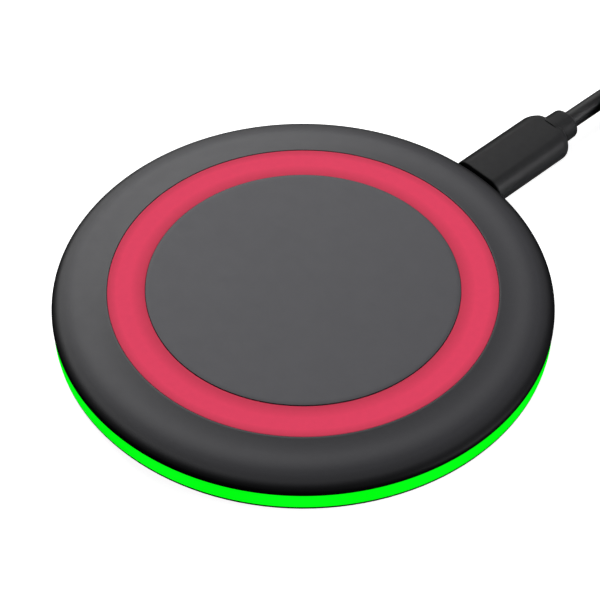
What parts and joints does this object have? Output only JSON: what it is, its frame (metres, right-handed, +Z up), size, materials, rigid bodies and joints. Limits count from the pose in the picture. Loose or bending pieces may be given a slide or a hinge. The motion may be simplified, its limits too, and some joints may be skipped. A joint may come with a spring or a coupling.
{
  "type": "wireless charging pad",
  "caption": "Round, thin wireless charging pad with a red accent ring in its charging face, a glowing green light ring under the rim, and a detachable cable.",
  "frame": {"origin": "middle of the pad on the table it stands on", "axes": "+Z up out of the charging face, +Y out through the cable port"},
  "size_m": [0.1165, 0.1882, 0.0095],
  "materials": {
    "cover_black": "fine satin texture",
    "base_black": "fine spark-eroded texture",
    "ring_red": "matte silicone",
    "film_clear": "clear adhesive film",
    "glow_green": "translucent, lit from inside",
    "foot_rubber": "matte",
    "screw_steel": "zinc plated",
    "board_mask": "solder mask",
    "lamp_white": "moulded lamp package",
    "chip_black": "moulded epoxy",
    "chip_ceramic": "fired ceramic",
    "ferrite_grey": "sintered ferrite",
    "coil_copper": "enamelled copper wire",
    "crystal_can": "plated can",
    "bead_glass": "coated bead",
    "wire_red": "wire insulation",
    "shell_steel": "nickel plated",
    "socket_black": "moulded insulator",
    "contact_gold": "gold plated",
    "plug_black": "soft moulded",
    "cord_black": "smooth jacket",
    "tie_black": "hook-and-loop strap"
  },
  "bodies": {
    "pad": {"top_cover": "cover_black", "accent_ring": "ring_red", "accent_ring_adhesive": "film_clear", "light_ring": "glow_green", "bottom_cover": "base_black", "case_screws": "screw_steel", "main_board": "board_mask", "side_lamps": "lamp_white", "controller_chip": "chip_black", "power_transistors": "chip_black", "tuning_capacitors": "chip_ceramic", "supply_capacitors": "chip_ceramic", "filter_inductor": "ferrite_grey", "chip_resistors": "chip_black", "clock_crystal": "crystal_can", "charging_coil": "coil_copper", "inner_lead": "coil_copper", "outer_lead": "coil_copper", "ferrite_shield": "ferrite_grey", "coil_adhesive": "film_clear", "heat_sensor": "bead_glass", "sensor_wires": "wire_red", "receptacle_shell": "shell_steel", "receptacle_tongue": "socket_black", "receptacle_contacts": "contact_gold", "foot_1": "foot_rubber", "foot_2": "foot_rubber", "foot_3": "foot_rubber", "foot_4": "foot_rubber"},
    "cable": {"plug_shell": "shell_steel", "plug_insert": "socket_black", "plug_contacts": "contact_gold", "plug_grip": "plug_black", "plug_strain_relief": "plug_black", "cord_lead": "cord_black", "cord_winding": "cord_black", "cord_tail": "cord_black", "cord_tie": "tie_black", "far_strain_relief": "plug_black", "far_grip": "plug_black", "far_shell": "shell_steel", "far_insert": "socket_black", "far_contacts": "contact_gold"}
  },
  "joints": [
    {"name": "cable_unplug", "type": "slide", "parent": "pad", "child": "cable", "axis": [0, 1, 0], "range_m": [0, 0.03]}
  ]
}
